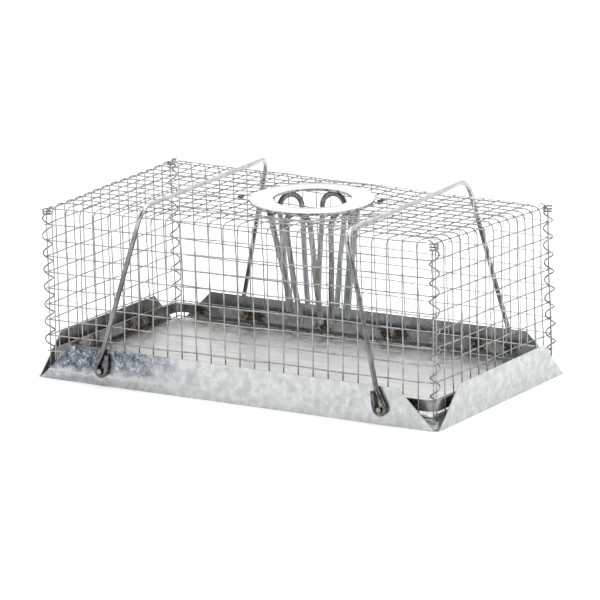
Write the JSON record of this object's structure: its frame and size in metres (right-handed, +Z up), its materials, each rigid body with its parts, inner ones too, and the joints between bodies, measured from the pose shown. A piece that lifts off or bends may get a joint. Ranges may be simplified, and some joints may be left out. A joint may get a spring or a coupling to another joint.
{
  "type": "live catch trap",
  "caption": "Wire mesh live catch trap: cage on a folded sheet base, top entry ring with a funnel of wire loops, held by two swinging bails",
  "frame": {"origin": "On the ground under the middle of the sheet base.", "axes": "+X runs along the cage to its right end as seen from the front, +Y runs from the front wall to the back wall, +Z is up."},
  "size_m": [0.35, 0.2068, 0.1405],
  "materials": {
    "galvanised_sheet": "satin, zinc coated, faint spangle",
    "stud_steel": "satin",
    "bail_wire": "satin, zinc coated",
    "mesh_wire": "satin, zinc coated",
    "lacing_wire": "satin, zinc coated",
    "band_steel": "dull, scorched at the spot welds",
    "polished_ring": "bright",
    "funnel_wire": "dull, scorched at the welds",
    "tie_wire": "dull, dark"
  },
  "bodies": {
    "trap_body": {"base_plate": "galvanised_sheet", "pivot_studs": "stud_steel", "top_mesh": "mesh_wire", "front_mesh": "mesh_wire", "back_mesh": "mesh_wire", "left_end_mesh": "mesh_wire", "right_end_mesh": "mesh_wire", "bottom_band": "band_steel", "entry_ring": "polished_ring", "ring_ties": "tie_wire", "front_left_lacing": "lacing_wire", "front_right_lacing": "lacing_wire", "back_left_lacing": "lacing_wire", "back_right_lacing": "lacing_wire", "funnel_loop_1": "funnel_wire", "funnel_loop_2": "funnel_wire", "funnel_loop_3": "funnel_wire", "funnel_loop_4": "funnel_wire", "funnel_loop_5": "funnel_wire", "funnel_loop_6": "funnel_wire"},
    "left_bail_body": {"left_bail": "bail_wire"},
    "right_bail_body": {"right_bail": "bail_wire"}
  },
  "joints": [
    {"name": "left_bail_hinge", "type": "hinge", "parent": "trap_body", "child": "left_bail_body", "pos_m": [-0.1155, 0, 0.012], "axis": [0, -1, 0], "range_deg": [0, 110]},
    {"name": "right_bail_hinge", "type": "hinge", "parent": "trap_body", "child": "right_bail_body", "pos_m": [0.128, 0, 0.012], "axis": [0, 1, 0], "range_deg": [0, 110]}
  ]
}
